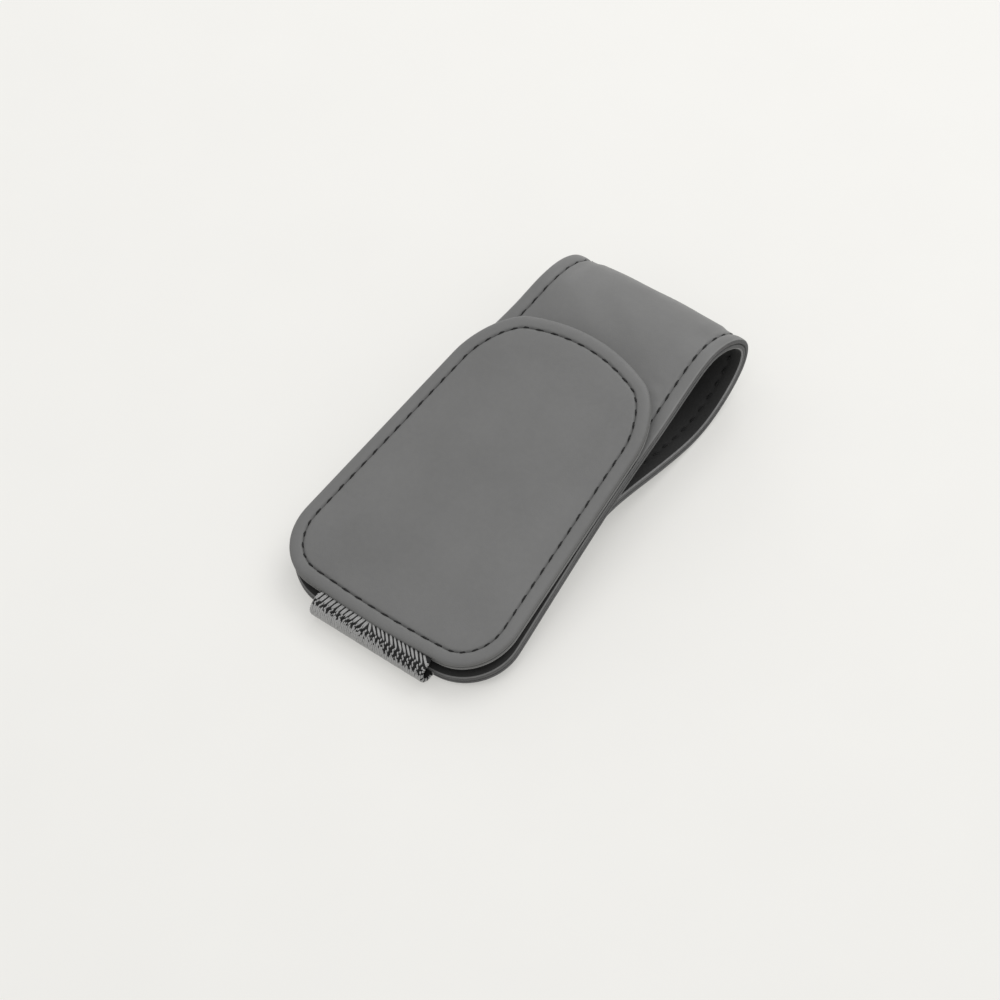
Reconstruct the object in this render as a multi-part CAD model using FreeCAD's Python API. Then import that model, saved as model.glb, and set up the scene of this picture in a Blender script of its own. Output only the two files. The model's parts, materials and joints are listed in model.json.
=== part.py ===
import FreeCAD, Part
import math, os

# Grey leather magnetic clip: a stitched front flap on an elastic hinge over a
# strap that runs up behind it, turns round a teardrop loop and comes back as
# a tail held to the underside by magnets.
# Design frame: X across, Y from the elastic end to the loop, Z out of the
# flap's face, flap face at z = 0.  place() then tips it to how it rests.

os.makedirs("parts", exist_ok=True)
V = FreeCAD.Vector

# ---- driving dimensions, mm -------------------------------------------------
skin_t = 0.55            # face leather
filler_t = 1.00          # stiffener sheet, same thickness as the elastic
lining_t = 0.55          # lining leather
ply_t = skin_t + filler_t + lining_t

flap_half_w_bottom = 25.0
flap_half_w_top = 19.88
flap_side_len = 60.1     # up the side, corner to corner
flap_top_arch = 6.05
flap_bottom_arch = 1.40
corner_bottom = (10.8, 9.9)   # along the side, along the bottom
corner_top = (9.8, 6.8)        # along the side, along the top
filler_inset = 0.35

base_half_w_bottom = 24.90
base_shift_y = -0.95
base_corner = (10.6, 11.2)
base_skew = 0.60          # sewn to the elastic slightly to one side, fading out at the loop
base_side = [(60.0, 19.75), (68.0, 18.95), (76.0, 18.50), (80.0, 18.45), (85.0, 18.45)]
tail_side = [(85.0, 18.45), (76.0, 18.75), (68.0, 19.15), (55.0, 19.65), (40.0, 20.00), (28.0, 20.20)]
tail_end_y = 14.0
tail_end_arch = 1.2
tail_corner = (8.0, 8.0)

# outer side of the strap leather, from the elastic end up over the loop and
# back to the tail's free end
strap_profile = [(-4.0, -3.90), (2.0, -3.90), (7.0, -3.88), (12.0, -3.72), (18.0, -3.42), (26.0, -3.08),
                 (38.0, -2.85), (50.0, -3.22), (60.0, -3.80), (67.5, -3.98), (72.8, -4.05),
                 (77.2, -5.15), (80.7, -7.45), (83.0, -10.4), (83.9, -13.5), (82.8, -16.6),
                 (79.8, -19.0), (75.3, -20.5), (70.0, -20.9), (64.5, -20.0), (58.5, -17.5),
                 (52.5, -14.4), (47.0, -11.45), (42.0, -9.20), (37.0, -7.95), (31.0, -7.65),
                 (24.0, -7.80), (17.0, -8.10), (12.0, -8.32), (9.0, -8.42)]
strap_shear = 0.045       # the strap is folded back slightly askew: the loop runs on further at the right
hinge_gap = 0.20         # between the two halves of the strap at the far end

slot_lining_y = 50.0      # dark anti-scratch lining on the base panel, up to here
slot_lining_gap = 0.06

elastic_w = 25.8
elastic_t = 1.00
elastic_tuck = 6.0       # sewn in between the plies
elastic_out = 2.60       # from the flap's zero line out to the fold
elastic_x = 1.15         # sewn in a little off centre
pivot_out = 0.05         # hinge lines stand this far outside the elastic

stitch_inset = 2.55
stitch_inset_strap = 2.70
stitch_pitch = 3.00
stitch_len = 2.30
stitch_w = 0.55
stitch_h = 0.28
groove_w = 0.76
groove_d = 0.25
stitch_lift = 0.04        # the tail's face is slightly hollow, so its stitches sit clear

magnet_r = 5.0
magnet_t = 0.90
magnet_x = 9.0
magnet_y = 23.0
magnet_slack = 0.15

# ---- plan outlines ----------------------------------------------------------
def unit(a, b):
    n = math.hypot(a, b)
    return a / n, b / n

def bezier(p0, p1, p2, p3, n):
    out = []
    for i in range(n):
        t = i / float(n)
        a, b, c, d = (1 - t) ** 3, 3 * (1 - t) ** 2 * t, 3 * (1 - t) * t * t, t ** 3
        out.append((a * p0[0] + b * p1[0] + c * p2[0] + d * p3[0],
                    a * p0[1] + b * p1[1] + c * p2[1] + d * p3[1]))
    return out

K = 0.56

def bottom_half(wb, wt, L, cs, cb, arch, n):
    # from the bottom centre to where the side is straight
    def bot(x):
        return -arch * (1 - (x / wb) ** 2)
    sx, sy = unit(wt - wb, L)
    xb = wb - cb
    p0 = (xb, bot(xb))
    dx, dy = unit(1.0, 2 * arch * xb / wb ** 2)
    p3 = (wb + sx * cs, sy * cs)
    pts = [(xb * i / float(n), bot(xb * i / float(n))) for i in range(n)]
    pts += bezier(p0, (p0[0] + dx * cb * K, p0[1] + dy * cb * K),
                  (p3[0] - sx * cs * K, p3[1] - sy * cs * K), p3, n)
    return pts, p3

def flap_half(n=14):
    wb, wt, L = flap_half_w_bottom, flap_half_w_top, flap_side_len
    pts, p3 = bottom_half(wb, wt, L, corner_bottom[0], corner_bottom[1], flap_bottom_arch, n)
    sx, sy = unit(wt - wb, L)
    q0 = (wt - sx * corner_top[0], L - sy * corner_top[0])
    xt = wt - corner_top[1]
    def top(x):
        return L + flap_top_arch * (1 - (x / wt) ** 2)
    q3 = (xt, top(xt))
    dx, dy = unit(-1.0, 2 * flap_top_arch * xt / wt ** 2)
    for i in range(n):
        t = i / float(n)
        pts.append((p3[0] + (q0[0] - p3[0]) * t, p3[1] + (q0[1] - p3[1]) * t))
    pts += bezier(q0, (q0[0] + sx * corner_top[0] * K, q0[1] + sy * corner_top[0] * K),
                  (q3[0] - dx * corner_top[1] * K, q3[1] - dy * corner_top[1] * K), q3, n)
    for i in range(n + 1):
        x = xt * (1 - i / float(n))
        pts.append((x, top(x)))
    return pts

def spline_eval(points, y):
    # smooth monotone-ish interpolation of (y, w) by cubic Hermite
    p = sorted(points)
    n = len(p)
    m = []
    for i in range(n):
        if i == 0:
            m.append((p[1][1] - p[0][1]) / (p[1][0] - p[0][0]))
        elif i == n - 1:
            m.append((p[-1][1] - p[-2][1]) / (p[-1][0] - p[-2][0]))
        else:
            m.append((p[i + 1][1] - p[i - 1][1]) / (p[i + 1][0] - p[i - 1][0]))
    if y <= p[0][0]:
        return p[0][1] + m[0] * (y - p[0][0])
    if y >= p[-1][0]:
        return p[-1][1] + m[-1] * (y - p[-1][0])
    for i in range(n - 1):
        if y <= p[i + 1][0]:
            h = p[i + 1][0] - p[i][0]
            t = (y - p[i][0]) / h
            return ((2 * t ** 3 - 3 * t ** 2 + 1) * p[i][1] + (t ** 3 - 2 * t ** 2 + t) * h * m[i]
                    + (-2 * t ** 3 + 3 * t ** 2) * p[i + 1][1] + (t ** 3 - t ** 2) * h * m[i + 1])

def base_half(n=14, y_top=85.0):
    wb = base_half_w_bottom
    wt, L = base_side[0][1], base_side[0][0]
    pts, p3 = bottom_half(wb, wt, L, base_corner[0], base_corner[1], flap_bottom_arch, n)
    side = [(p3[1], p3[0]), (30.0, wb + (wt - wb) * 30.0 / L), (46.0, wb + (wt - wb) * 46.0 / L)] + base_side
    m = 40
    for i in range(m + 1):
        y = p3[1] + (y_top - p3[1]) * i / float(m)
        pts.append((spline_eval(side, y), y))
    return [(x, y + base_shift_y) for x, y in pts]

def tail_half(n=14, y_top=85.0):
    # from the free end's centre out to the side and up to the loop
    w_end = spline_eval(tail_side, tail_end_y)
    y0 = tail_end_y
    xb = w_end - tail_corner[1]
    def end(x):
        return y0 - tail_end_arch * (1 - (x / w_end) ** 2)
    ys = y0 + tail_corner[0]
    p0 = (xb, end(xb))
    p3 = (spline_eval(tail_side, ys), ys)
    dx, dy = unit(1.0, 2 * tail_end_arch * xb / w_end ** 2)
    sx, sy = unit(spline_eval(tail_side, ys + 1) - p3[0], 1.0)
    pts = [(xb * i / float(n), end(xb * i / float(n))) for i in range(n)]
    pts += bezier(p0, (p0[0] + dx * tail_corner[1] * K, p0[1] + dy * tail_corner[1] * K),
                  (p3[0] - sx * tail_corner[0] * K, p3[1] - sy * tail_corner[0] * K), p3, n)
    m = 36
    for i in range(m + 1):
        y = ys + (y_top - ys) * i / float(m)
        pts.append((spline_eval(tail_side, y), y))
    return pts

def inset(pts, d):
    # move a half outline (bottom centre to top) inwards by d
    out = []
    n = len(pts)
    for i in range(n):
        a = pts[max(i - 1, 0)]
        b = pts[min(i + 1, n - 1)]
        tx, ty = unit(b[0] - a[0], b[1] - a[1])
        if i == 0:
            tx, ty = 1.0, 0.0
        out.append((pts[i][0] - ty * d, pts[i][1] + tx * d))
    return out

def spline_edge(pts3):
    c = Part.BSplineCurve()
    c.interpolate([V(*p) for p in pts3])
    return c.toShape()

def skewed(x, y, skew):
    return x + skew * max(0.0, 1.0 - max(y, 0.0) / 60.0)

def open_face(half, skew=0.0):
    # right side, straight top, left side
    r = spline_edge([(skewed(x, y, skew), y, 0) for x, y in half])
    l = spline_edge([(skewed(-x, y, skew), y, 0) for x, y in half])
    xt, yt = half[-1]
    top = Part.LineSegment(V(xt, yt, 0), V(-xt, yt, 0)).toShape()
    return Part.Face(Part.Wire(Part.__sortEdges__([r, top, l])))

def closed_face(half):
    # a full outline whose half ends on the centre line
    h = [(0.0, half[0][1])] + [p for p in half[1:-1]] + [(0.0, half[-1][1])]
    r = spline_edge([(x, y, 0) for x, y in h])
    l = spline_edge([(-x, y, 0) for x, y in h])
    return Part.Face(Part.Wire(Part.__sortEdges__([r, l])))

def prism(face, z0, z1):
    f = face.copy()
    f.translate(V(0, 0, z0))
    return f.extrude(V(0, 0, z1 - z0))

def fix_centre(half):
    h = list(half)
    h[0] = (0.0, h[0][1])
    if abs(h[-1][0]) < 1.0:
        h[-1] = (0.0, h[-1][1])
    return h

# ---- strap side profile -----------------------------------------------------
prof = Part.BSplineCurve()
prof.interpolate([V(0, y, z) for y, z in strap_profile])
N_S = 1600
u0, u1 = prof.FirstParameter, prof.LastParameter
tab = []
s = 0.0
last = None
for i in range(N_S + 1):
    u = u0 + (u1 - u0) * i / float(N_S)
    p = prof.value(u)
    t = prof.tangent(u)[0]
    if last is not None:
        s += (p - last).Length
    last = p
    tab.append((s, p.y, p.z, t.y, t.z))
S_END = s

def at(s):
    lo, hi = 0, N_S
    if s <= 0:
        r = tab[0]
        return r[1] + r[3] * s, r[2] + r[4] * s, r[3], r[4]
    if s >= S_END:
        r = tab[-1]
        return r[1] + r[3] * (s - S_END), r[2] + r[4] * (s - S_END), r[3], r[4]
    while hi - lo > 1:
        mid = (lo + hi) // 2
        if tab[mid][0] <= s:
            lo = mid
        else:
            hi = mid
    a, b = tab[lo], tab[hi]
    f = (s - a[0]) / max(b[0] - a[0], 1e-9)
    ty, tz = unit(a[3] + (b[3] - a[3]) * f, a[4] + (b[4] - a[4]) * f)
    return a[1] + (b[1] - a[1]) * f, a[2] + (b[2] - a[2]) * f, ty, tz

S_T = max(tab, key=lambda r: r[1])[0]      # the far end, where the tail hinges
def s_top(y):
    lo, hi = 0.0, S_T
    for _ in range(40):
        m = 0.5 * (lo + hi)
        if at(m)[0] < y:
            lo = m
        else:
            hi = m
    return 0.5 * (lo + hi)

def s_tail(y):
    lo, hi = S_T, S_END
    for _ in range(40):
        m = 0.5 * (lo + hi)
        if at(m)[0] > y:
            lo = m
        else:
            hi = m
    return 0.5 * (lo + hi)

def depth_point(s, d):
    y, z, ty, tz = at(s)
    return y + tz * d, z - ty * d          # inwards is to the right of travel

def layer(d0, d1, sa, sb, half_w=32.0, n=70):
    # the slab of strap between depths d0 and d1, from arc length sa to sb
    a = [depth_point(sa + (sb - sa) * i / float(n), d0) for i in range(n + 1)]
    b = [depth_point(sa + (sb - sa) * i / float(n), d1) for i in range(n + 1)]
    dy = half_w * strap_shear
    a = [(y - dy, z) for y, z in a]
    b = [(y - dy, z) for y, z in b]
    e1 = spline_edge([(-half_w, y, z) for y, z in a])
    e2 = spline_edge([(-half_w, y, z) for y, z in b])
    l1 = Part.LineSegment(V(-half_w, a[0][0], a[0][1]), V(-half_w, b[0][0], b[0][1])).toShape()
    l2 = Part.LineSegment(V(-half_w, a[-1][0], a[-1][1]), V(-half_w, b[-1][0], b[-1][1])).toShape()
    f = Part.Face(Part.Wire(Part.__sortEdges__([e1, l2, e2, l1])))
    return f.extrude(V(2 * half_w, 2 * dy, 0))

# ---- stitches ---------------------------------------------------------------
def capsule():
    r = stitch_w / 2.0
    h = stitch_len / 2.0 - r
    e = [Part.LineSegment(V(-h, -r, 0), V(h, -r, 0)).toShape(),
         Part.Arc(V(h, -r, 0), V(h + r, 0, 0), V(h, r, 0)).toShape(),
         Part.LineSegment(V(h, r, 0), V(-h, r, 0)).toShape(),
         Part.Arc(V(-h, r, 0), V(-h - r, 0, 0), V(-h, -r, 0)).toShape()]
    return Part.Face(Part.Wire(e)).extrude(V(0, 0, stitch_h))

ONE = capsule()

def stitch(pos, t, n):
    t = V(*t); n = V(*n)
    t.normalize(); n.normalize()
    b = n.cross(t)
    b.normalize()
    t = b.cross(n)
    m = FreeCAD.Matrix(t.x, b.x, n.x, pos[0], t.y, b.y, n.y, pos[1], t.z, b.z, n.z, pos[2], 0, 0, 0, 1)
    c = ONE.copy()
    c.transformShape(m)
    return c

def resample(path, pitch, closed):
    d = [0.0]
    for a, b in zip(path[:-1], path[1:]):
        d.append(d[-1] + math.hypot(b[0] - a[0], b[1] - a[1]))
    n = int(round(d[-1] / pitch))
    out = []
    j = 0
    for i in range(n):
        q = d[-1] * (i + 0.5) / n
        while d[j + 1] < q:
            j += 1
        f = (q - d[j]) / (d[j + 1] - d[j])
        a, b = path[j], path[j + 1]
        out.append((a[0] + (b[0] - a[0]) * f, a[1] + (b[1] - a[1]) * f, b[0] - a[0], b[1] - a[1]))
    return out

def mirror_path(half):
    # left top ... bottom centre ... right top
    return [(-x, y) for x, y in reversed(half[1:])] + list(half)

# ---- resting position -------------------------------------------------------
mid_flap = -ply_t / 2.0
mid_base = strap_profile[0][1] - ply_t / 2.0
fold_r = (mid_flap - mid_base) / 2.0
fold_z = (mid_flap + mid_base) / 2.0
fold_y = -elastic_out

low_pts = [depth_point(s_top(base_shift_y - flap_bottom_arch), ply_t), (base_shift_y - flap_bottom_arch, mid_base - ply_t / 2.0)]
for i in range(61):
    a = math.pi / 2 + math.pi * i / 60.0
    low_pts.append((fold_y + (fold_r + elastic_t / 2) * math.cos(a), fold_z + (fold_r + elastic_t / 2) * math.sin(a)))
belly = [(r[1] - 18.9 * strap_shear, r[2]) for r in tab if r[0] > S_T and r[1] > 40]
lo, hi = 0.0, 30.0
for _ in range(60):
    th = 0.5 * (lo + hi)
    c, sn = math.cos(math.radians(th)), math.sin(math.radians(th))
    front = min(y * sn + z * c for y, z in low_pts)
    rear = min(y * sn + z * c for y, z in belly)
    if rear < front:
        lo = th
    else:
        hi = th
rest_tilt = th
cs_, sn_ = math.cos(math.radians(rest_tilt)), math.sin(math.radians(rest_tilt))
rest_low = min(min(y * sn_ + z * cs_ for y, z in low_pts), min(y * sn_ + z * cs_ for y, z in belly))
ys_all = [y * cs_ - z * sn_ for y, z in low_pts + [(r[1] + 18.45 * strap_shear, r[2]) for r in tab]]
rest_y0, rest_y1 = min(y for y in ys_all if True), max(ys_all)
y_mid = 0.5 * (rest_y0 + rest_y1)
print("REST tilt %.5f shift_y %.5f shift_z %.5f" % (rest_tilt, -y_mid, -rest_low))
print("FOLD y %.4f z %.4f r %.4f mid_flap %.4f mid_base %.4f" % (fold_y, fold_z, fold_r, mid_flap, mid_base))
yT, zT, tyT, tzT = at(S_T)
print("TAIL hinge y %.4f z %.4f" % (yT, zT))
print("S_T %.3f S_END %.3f" % (S_T, S_END))

PL = FreeCAD.Placement(V(0, -y_mid, -rest_low), FreeCAD.Rotation(V(1, 0, 0), rest_tilt))

def write(name, shape):
    s = shape.copy()
    s.transformShape(PL.toMatrix())
    if s.ShapeType == "Compound" and len(s.Solids) == 1:
        s = s.Solids[0]
    bb = s.BoundBox
    print("%-22s solids %3d valid %s vol %8.2f  x %.2f..%.2f y %.2f..%.2f z %.2f..%.2f" % (
        name, len(s.Solids), s.isValid(), s.Volume, bb.XMin, bb.XMax, bb.YMin, bb.YMax, bb.ZMin, bb.ZMax))
    s.exportStep("parts/" + name + ".step")

# ---- flap -------------------------------------------------------------------
fh = fix_centre(flap_half())
flap_plan = closed_face(fh)
fill_half = fix_centre(inset(fh, filler_inset))
fill_plan = closed_face(fill_half)
z1, z2, z3 = -skin_t, -skin_t - filler_t, -ply_t

st_half = inset(fh, stitch_inset)
g_out = closed_face(fix_centre(inset(fh, stitch_inset - groove_w / 2)))
g_in = closed_face(fix_centre(inset(fh, stitch_inset + groove_w / 2)))
ring = prism(g_out, -groove_d, 1.0).cut(prism(g_in, -groove_d - 0.5, 1.5))
write("flap_front_skin", prism(flap_plan, z1, 0.0).cut(ring))
write("flap_lining", prism(flap_plan, z3, z2))

tab_box = Part.makeBox(elastic_w, elastic_tuck + elastic_out - 0.05, elastic_t,
                       V(elastic_x - elastic_w / 2, fold_y + 0.05, z2))
notch = Part.makeBox(elastic_w + 0.2, elastic_tuck + 10.1, 8.0, V(elastic_x - elastic_w / 2 - 0.1, -10.0, -9.0))
notch_f = notch.copy()
notch_f.translate(V(0, 0, 4))
filler = prism(fill_plan, z2, z1).cut(notch_f)
for sx in (-1, 1):
    filler = filler.cut(Part.makeCylinder(magnet_r + magnet_slack, 6, V(sx * magnet_x, magnet_y, -4)))
    m = Part.makeCylinder(magnet_r, magnet_t, V(sx * magnet_x, magnet_y, (z1 + z2) / 2 - magnet_t / 2))
    write("flap_magnet_" + ("left" if sx < 0 else "right"), m)
write("flap_stiffener", filler)
write("elastic_flap_tab", tab_box)

path = mirror_path(st_half)
loop_pts = path + [path[0]]
st = []
for x, y, dx, dy in resample(loop_pts, stitch_pitch, True):
    st.append(stitch((x, y, -groove_d), (dx, dy, 0), (0, 0, 1)))
write("flap_stitching", Part.makeCompound(st))

# ---- elastic fold -----------------------------------------------------------
ro, ri = fold_r + elastic_t / 2, fold_r - elastic_t / 2
da = 0.05 / fold_r
def arc(r, a0, a1):
    am = 0.5 * (a0 + a1)
    P = lambda a: V(elastic_x - elastic_w / 2, fold_y + r * math.cos(a), fold_z + r * math.sin(a))
    return Part.Arc(P(a0), P(am), P(a1)).toShape(), P(a0), P(a1)
A0, A1 = math.pi / 2 + da, 3 * math.pi / 2 - da
eo, po0, po1 = arc(ro, A0, A1)
ei, pi0, pi1 = arc(ri, A0, A1)
f = Part.Face(Part.Wire(Part.__sortEdges__([eo, Part.LineSegment(po1, pi1).toShape(), ei,
                                            Part.LineSegment(pi0, po0).toShape()])))
write("elastic_band", f.extrude(V(elastic_w, 0, 0)))

# ---- strap: base panel and the near half of the loop ------------------------
bh = fix_centre(base_half())
base_prism = prism(open_face(bh, base_skew), -40, 20)
bfill_prism = prism(open_face(fix_centre(inset(bh, filler_inset)), base_skew), -40, 20)
sa, sb = 0.0, S_T - hinge_gap / 2
g1 = inset(bh, stitch_inset_strap - groove_w / 2)
g2 = inset(bh, stitch_inset_strap + groove_w / 2)
strip = prism(open_face(fix_centre(g1), base_skew), -40, 20).cut(prism(open_face(fix_centre([(x, y + (0.0 if y < 80 else 3.0)) for x, y in g2]), base_skew), -45, 25))
groove = layer(-0.6, groove_d, sa, sb + 0.0).common(strip)
skin = layer(0, skin_t, s_top(slot_lining_y) + slot_lining_gap, sb).common(base_prism).cut(groove)
write("base_outer_skin", skin)
write("slot_lining", layer(0, skin_t, sa, s_top(slot_lining_y)).common(base_prism).cut(groove))
write("base_lining", layer(skin_t + filler_t, ply_t, sa, sb).common(base_prism))
filler = layer(skin_t, skin_t + filler_t, sa, sb).common(bfill_prism)
filler = filler.cut(Part.makeBox(elastic_w + 0.2, elastic_tuck + 10.1, 8.0, V(elastic_x - elastic_w / 2 - 0.1, -10.0, -9.0)))
def strap_magnet(s, x, name):
    y, z, ty, tz = at(s)
    d = skin_t + filler_t / 2 + magnet_t / 2
    n = V(0, -tz, ty)
    c = V(x, y + tz * d + strap_shear * x, z - ty * d)
    return Part.makeCylinder(magnet_r, magnet_t, c, n), Part.makeCylinder(magnet_r + magnet_slack, 4.0, c - n * 1.5, n)
for sx in (-1, 1):
    m, hole = strap_magnet(s_top(magnet_y), sx * magnet_x, "")
    filler = filler.cut(hole)
    write("base_magnet_" + ("left" if sx < 0 else "right"), m)
write("base_stiffener", filler)
tabl = layer(skin_t, skin_t + filler_t, 0.2, s_top(elastic_tuck + 1.5), n=14)
write("elastic_base_tab", tabl.common(Part.makeBox(elastic_w, elastic_tuck - fold_y - 0.05, 60,
                                                 V(elastic_x - elastic_w / 2, fold_y + 0.05, -40))))

def strap_path(half, upper):
    pts = []
    for x, y in half:
        if upper and y < 79.0:
            pts.append((x, s_top(y)))
        elif (not upper) and y < 79.0:
            pts.append((x, s_tail(y)))
    s0 = pts[-1][1]
    s1 = (S_T - 0.9) if upper else (S_T + 0.9)
    w_of = (lambda y: spline_eval([(p[1], p[0]) for p in half if p[1] > 40], y))
    for i in range(1, 13):
        s = s0 + (s1 - s0) * i / 12.0
        pts.append((w_of(at(s)[0]), s))
    return pts

def strap_stitches(half, upper):
    out = []
    for x, s, dx, ds in resample(mirror_path(strap_path(half, upper)), stitch_pitch, False):
        y, z, ty, tz = at(s)
        s += (-1.0 if upper else 1.0) * strap_shear * x * min(1.0, max(0.0, (70.0 - y) / 20.0))
        y, z, ty, tz = at(s)
        if upper:
            x = skewed(x, y, base_skew)
        y += strap_shear * x
        n = (0, -tz, ty)
        d = groove_d - (0.0 if upper else stitch_lift)
        out.append(stitch((x, y + tz * d, z - ty * d), (dx, ds * ty, ds * tz), n))
    return Part.makeCompound(out)

write("base_stitching", strap_stitches(inset(bh, stitch_inset_strap), True))

# ---- tail -------------------------------------------------------------------
th_ = fix_centre(tail_half())
tail_prism = prism(open_face(th_), -40, 20)
tfill_prism = prism(open_face(fix_centre(inset(th_, filler_inset))), -40, 20)
sa, sb = S_T + hinge_gap / 2, S_END
g1 = inset(th_, stitch_inset_strap - groove_w / 2)
g2 = inset(th_, stitch_inset_strap + groove_w / 2)
strip = prism(open_face(fix_centre(g1)), -40, 20).cut(prism(open_face(fix_centre([(x, y + (0.0 if y < 80 else 3.0)) for x, y in g2])), -45, 25))
groove = layer(-0.6, groove_d, sa, sb).common(strip)
write("tail_outer_skin", layer(0, skin_t, sa, sb).common(tail_prism).cut(groove))
write("tail_lining", layer(skin_t + filler_t, ply_t, sa, sb).common(tail_prism))
filler = layer(skin_t, skin_t + filler_t, sa, sb).common(tfill_prism)
for sx in (-1, 1):
    m, hole = strap_magnet(s_tail(magnet_y), sx * magnet_x, "")
    filler = filler.cut(hole)
    write("tail_magnet_" + ("left" if sx < 0 else "right"), m)
write("tail_stiffener", filler)
write("tail_stitching", strap_stitches(inset(th_, stitch_inset_strap), False))
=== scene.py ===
import bpy, bmesh, math, json
import numpy as np
from mathutils import Vector, Matrix


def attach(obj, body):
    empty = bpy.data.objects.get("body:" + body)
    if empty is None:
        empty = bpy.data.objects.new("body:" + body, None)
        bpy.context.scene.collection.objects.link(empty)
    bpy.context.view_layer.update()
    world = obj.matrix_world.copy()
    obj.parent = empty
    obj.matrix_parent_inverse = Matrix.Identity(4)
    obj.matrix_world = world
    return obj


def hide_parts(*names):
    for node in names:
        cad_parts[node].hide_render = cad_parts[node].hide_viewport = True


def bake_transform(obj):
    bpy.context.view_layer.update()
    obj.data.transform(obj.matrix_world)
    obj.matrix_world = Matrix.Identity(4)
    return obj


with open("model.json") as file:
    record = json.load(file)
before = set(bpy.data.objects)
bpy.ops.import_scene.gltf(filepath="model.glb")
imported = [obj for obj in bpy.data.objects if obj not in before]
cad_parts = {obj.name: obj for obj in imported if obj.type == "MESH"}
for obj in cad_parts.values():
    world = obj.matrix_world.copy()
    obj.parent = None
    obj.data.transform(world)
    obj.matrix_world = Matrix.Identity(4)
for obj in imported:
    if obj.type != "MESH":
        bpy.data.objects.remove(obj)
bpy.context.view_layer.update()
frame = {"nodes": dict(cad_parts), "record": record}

REC = frame["record"]
rng = np.random.default_rng(7)

# ---------------------------------------------------------------- the frame
# Design space, millimetres: x across, y from the elastic end to the loop,
# z out of the flap's face.  The clip rests tipped by th.
face = [m for m in REC["mounts"] if m["name"] == "flap_face"][0]
ax = face["axis"]
th = math.atan2(-ax[1], ax[2])
CT, ST = math.cos(th), math.sin(th)
SY = face["pos_m"][1] * 1000 - 32.0 * CT
SZ = face["pos_m"][2] * 1000 - 32.0 * ST

def W(p):
    """design mm (n,3) -> row frame metres"""
    p = np.asarray(p, float)
    return np.stack([p[..., 0], p[..., 1] * CT - p[..., 2] * ST + SY, p[..., 1] * ST + p[..., 2] * CT + SZ], -1) / 1000.0

# ---------------------------------------------------------------- outlines
K = 0.56
PLY = 2.10
FLAP = dict(wb=25.0, wt=19.88, L=60.1, cs=10.8, cb=9.9, arch=1.40, top=6.05, ct=(9.8, 6.8))
BASE = dict(wb=24.90, cs=10.6, cb=11.2, shift=-0.95, skew=0.60)
BASE_SIDE = [(60.0, 19.75), (68.0, 18.95), (76.0, 18.50), (80.0, 18.45), (85.0, 18.45)]
TAIL_SIDE = [(85.0, 18.45), (76.0, 18.75), (68.0, 19.15), (55.0, 19.65), (40.0, 20.00), (28.0, 20.20)]
SHEAR = 0.045                 # the strap is folded back slightly askew
PROFILE = np.array([(-4.0, -3.90), (2.0, -3.90), (7.0, -3.88), (12.0, -3.72), (18.0, -3.42), (26.0, -3.08),
                    (38.0, -2.85), (50.0, -3.22), (60.0, -3.80), (67.5, -3.98), (72.8, -4.05),
                    (77.2, -5.15), (80.7, -7.45), (83.0, -10.4), (83.9, -13.5), (82.8, -16.6),
                    (79.8, -19.0), (75.3, -20.5), (70.0, -20.9), (64.5, -20.0), (58.5, -17.5),
                    (52.5, -14.4), (47.0, -11.45), (42.0, -9.20), (37.0, -7.95), (31.0, -7.65),
                    (24.0, -7.80), (17.0, -8.10), (12.0, -8.32), (9.0, -8.42)])

def unit(v):
    return v / (np.linalg.norm(v, axis=-1, keepdims=True) + 1e-12)

def bez(p0, p1, p2, p3, n):
    t = np.linspace(0, 1, n, endpoint=False)[:, None]
    return (1 - t) ** 3 * p0 + 3 * (1 - t) ** 2 * t * p1 + 3 * (1 - t) * t * t * p2 + t ** 3 * p3

def hermite(points, y):
    p = np.array(sorted(points))
    X, Yv = p[:, 0], p[:, 1]
    m = np.gradient(Yv, X)
    m[1:-1] = (Yv[2:] - Yv[:-2]) / (X[2:] - X[:-2])
    m[0] = (Yv[1] - Yv[0]) / (X[1] - X[0])
    m[-1] = (Yv[-1] - Yv[-2]) / (X[-1] - X[-2])
    y = np.asarray(y, float)
    i = np.clip(np.searchsorted(X, y) - 1, 0, len(X) - 2)
    h = X[i + 1] - X[i]
    t = (y - X[i]) / h
    inside = ((2 * t ** 3 - 3 * t ** 2 + 1) * Yv[i] + (t ** 3 - 2 * t ** 2 + t) * h * m[i]
              + (-2 * t ** 3 + 3 * t ** 2) * Yv[i + 1] + (t ** 3 - t ** 2) * h * m[i + 1])
    return np.where(t < 0, Yv[0] + m[0] * (y - X[0]), np.where(t > 1, Yv[-1] + m[-1] * (y - X[-1]), inside))

def bottom_half(wb, wt, L, cs, cb, arch, n=24):
    side = unit(np.array([wt - wb, L]))
    xb = wb - cb
    bot = lambda x: -arch * (1 - (x / wb) ** 2)
    p0 = np.array([xb, bot(xb)])
    d = unit(np.array([1.0, 2 * arch * xb / wb ** 2]))
    p3 = np.array([wb, 0.0]) + side * cs
    xs = np.linspace(0, xb, n, endpoint=False)
    return np.vstack([np.c_[xs, bot(xs)], bez(p0, p0 + d * cb * K, p3 - side * cs * K, p3, n)]), p3

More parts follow.
